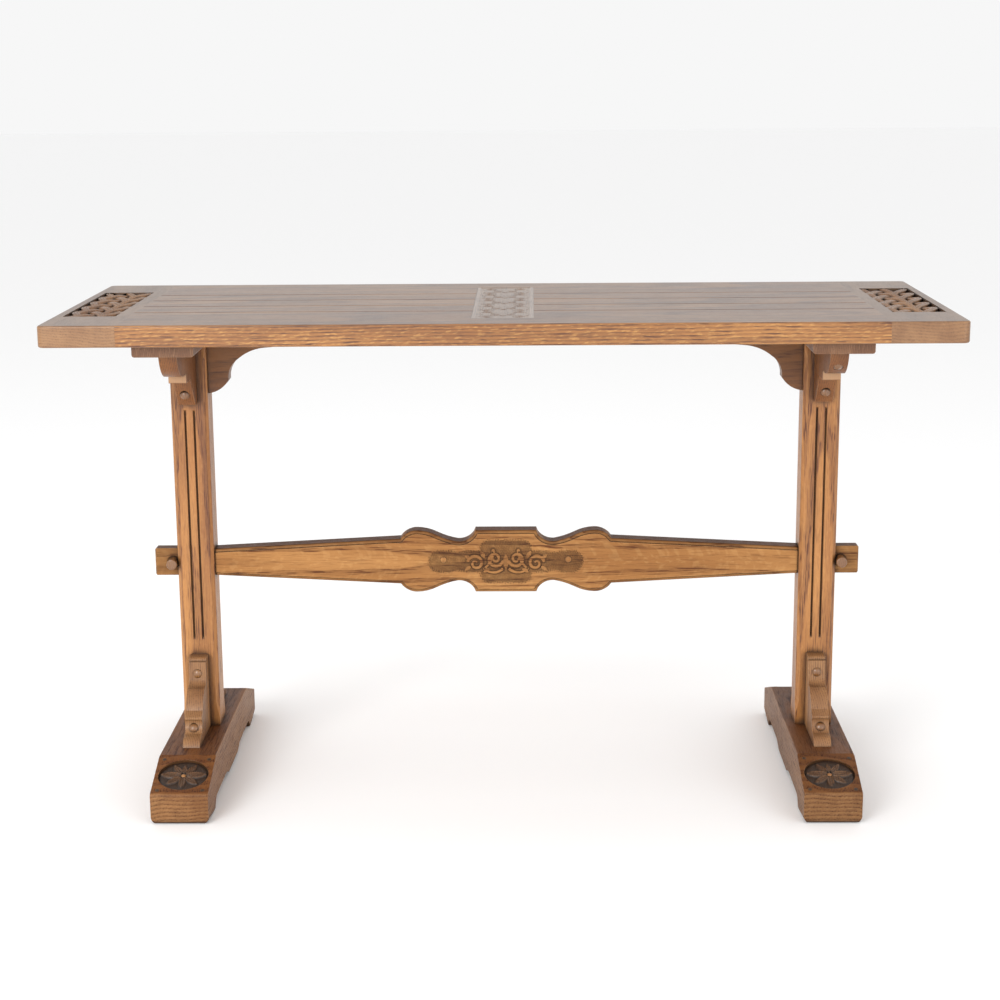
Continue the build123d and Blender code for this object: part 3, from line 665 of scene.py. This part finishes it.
# ---- stage ----
FLOOR_REACH = 30
FLOOR_GAP = 0.5 * MM
WORLD_STRENGTH = 0.93
LAMP_TARGET = (0, 0, 0.45)
LAMPS = (("key", (-1.9, -3.5, 1.9), 1.8, 95),
         ("fill", (2.6, -3.2, 1.2), 2.0, 28),
         ("above", (0, 0.4, 3.2), 3.0, 14))  # name, place, size in metres, watts


def make_stage():
    """A wide pale floor, white surroundings and large soft lamps."""
    mesh = bpy.data.meshes.new("floor")
    corners = [(side_x * FLOOR_REACH, side_y * FLOOR_REACH, 0)
               for side_x, side_y in ((-1, -1), (1, -1), (1, 1), (-1, 1))]
    mesh.from_pydata(corners, [], [(0, 1, 2, 3)])
    floor = bpy.data.objects.new("floor", mesh)
    bpy.context.scene.collection.objects.link(floor)
    floor.location.z = cad_bounds[0][2] - FLOOR_GAP
    material = bpy.data.materials.new("floor")
    material.use_nodes = True
    shader = material.node_tree.nodes["Principled BSDF"]
    shader.inputs["Base Color"].default_value = (0.98, 0.98, 0.98, 1)
    shader.inputs["Roughness"].default_value = 0.8
    shader.inputs["Specular IOR Level"].default_value = 0.1
    mesh.materials.append(material)
    world = bpy.data.worlds.new("studio")
    world.use_nodes = True
    background = world.node_tree.nodes["Background"]
    background.inputs["Color"].default_value = (1, 1, 1, 1)
    background.inputs["Strength"].default_value = WORLD_STRENGTH
    bpy.context.scene.world = world
    for name, place, size, power in LAMPS:
        lamp = bpy.data.lights.new(name, "AREA")
        lamp.size = size
        lamp.energy = power
        holder = bpy.data.objects.new(name, lamp)
        bpy.context.scene.collection.objects.link(holder)
        holder.location = place
        aim = Vector(LAMP_TARGET) - Vector(place)
        holder.rotation_euler = aim.to_track_quat("-Z", "Y").to_euler()
    bpy.context.scene.view_settings.view_transform = "Standard"


GRAIN = make_grain_group()
make_camera()
make_stage()

# ---- plain pieces: the grain axis and the look of each ----
# The level tops are darkened by the top-shade factor: painted shade.
FIELD_LOOK = dict(share=1.1, tint=(1, 0.95, 0.78), pith=(0, 0.05, 0.55), ring=0.0050, figure=1.25,
                  patina_and_shade=0.95, reach=0.006, open_at=0.95, shut_at=0.70, coat=0.55,
                  painted_top_shade=(0.55, 0.57, 0.62))
FOOT_SHARE = {"left": 0.82, "right": 0.68}
# Painted shade: the feet's tops and slopes are darkened and browned.
FOOT_LOOK = dict(tint=(1, 1.04, 1.25), pith=(0, 0.02, -0.45), ring=0.0062, fleck=0.2, reach=0.014,
                 coat=0.0, gloss=0.2, painted_top_shade=(0.74, 0.60, 0.44))
BRACKET_LOOK = dict(figure=0.8, fleck=0.1, wear=0.9, reach=0.006, open_at=0.93, shut_at=0.5)
# The top brackets are darker than the foot brackets as painted shade under the top, and their pale strip is
# a painted highlight on the lit face.
BRACKETS = {"top_bracket": dict(share=0.68, tint=(1.08, 0.88, 0.62), painted_lit_band=(2, -0.0055, 0.0095, 0.6)),
            "foot_bracket": dict(share=1.0, tint=(1, 1.08, 1.3))}
PEG_LOOK = dict(figure=0.6, fleck=0.0, patina_and_shade=1.0, reach=0.006, open_at=0.9, shut_at=0.5, wear=0.3,
                rough=0.22, coat=0.9)
SIDE_LOOKS = {
    # The end board's long reach darkens the walls of the opening under the fretwork: the old finish and
    # painted shade.
    "end_board": ("Y", dict(share=0.88, tint=(0.95, 1.06, 1.4), pith=(0, 0.02, 0.6), ring=0.0045,
                            fleck=0.1, figure=0.5, patina_and_shade=0.95, reach=0.018, open_at=0.97,
                            shut_at=0.62, coat=0.5, painted_top_shade=(0.6, 0.6, 0.6))),
    "post": ("Z", dict(share=1.42, tint=(1, 0.98, 0.9), pith=(0, 0.01, 0.09), ring=0.0062, fleck=0.1,
                       figure=1.15, patina_and_shade=0.9, reach=0.014, open_at=0.93, shut_at=0.4)),
    # The bearers and inner brackets are darkened as painted shade under the top.
    "bearer": ("Y", dict(share=0.60, tint=(1, 1.0, 1.35), figure=0.6)),
    "inner_bracket": ("X", dict(share=0.6, tint=(1.05, 0.9, 0.66), figure=0.8, fleck=0.0)),
    "key_peg": ("Y", dict(share=0.75, **PEG_LOOK)),
    "top_bracket_pegs": ("Y", dict(share=0.75, **PEG_LOOK)),
    "foot_bracket_pegs": ("Y", dict(share=0.8, **PEG_LOOK)),
    "rosette_pins": ("Y", dict(share=0.2, figure=0.5, wear=0.2)),
}
FRETWORK_LOOK = dict(share=0.95, tint=(0.95, 1.03, 1.3), fleck=0.1, figure=0.6, patina_and_shade=0.97,
                     open_at=0.95, shut_at=0.45, coat=0.5)

for name in ("front_board", "front_strip", "middle_strip", "rear_strip", "rear_board"):
    dress(name, oak(name, "X", **FIELD_LOOK))
for side in ("left", "right"):
    for kind, (grain, look) in SIDE_LOOKS.items():
        name = side + "_" + kind
        dress(name, oak(name, grain, **look))
    name = side + "_foot"
    dress(name, oak(name, "Y", share=FOOT_SHARE[side], **FOOT_LOOK))
    for end in ("front", "rear"):
        for kind, look in BRACKETS.items():
            name = side + "_" + kind + "_" + end
            dress(name, oak(name, "Z", **BRACKET_LOOK, **look))
screws = steel()
for name in ("left_bearer_screws", "right_bearer_screws", "inner_bracket_screws"):
    dress(name, screws)
dress("stretcher", oak("stretcher", "X", **STRETCHER_LOOK, **RAIL_LOOK))

# ---- carved pieces ----
carve_stretcher(oak("stretcher", "X", **STRETCHER_LOOK, **RELIEF_LOOK))
carve_plaque()
for side in ("left", "right"):
    for end in ("front", "rear"):
        carve_rosette(side + "_rosette_" + end, side + "_foot", end == "front")
    node = side + "_fretwork"
    carve_fretwork(node, oak(node, "Y", **FRETWORK_LOOK))
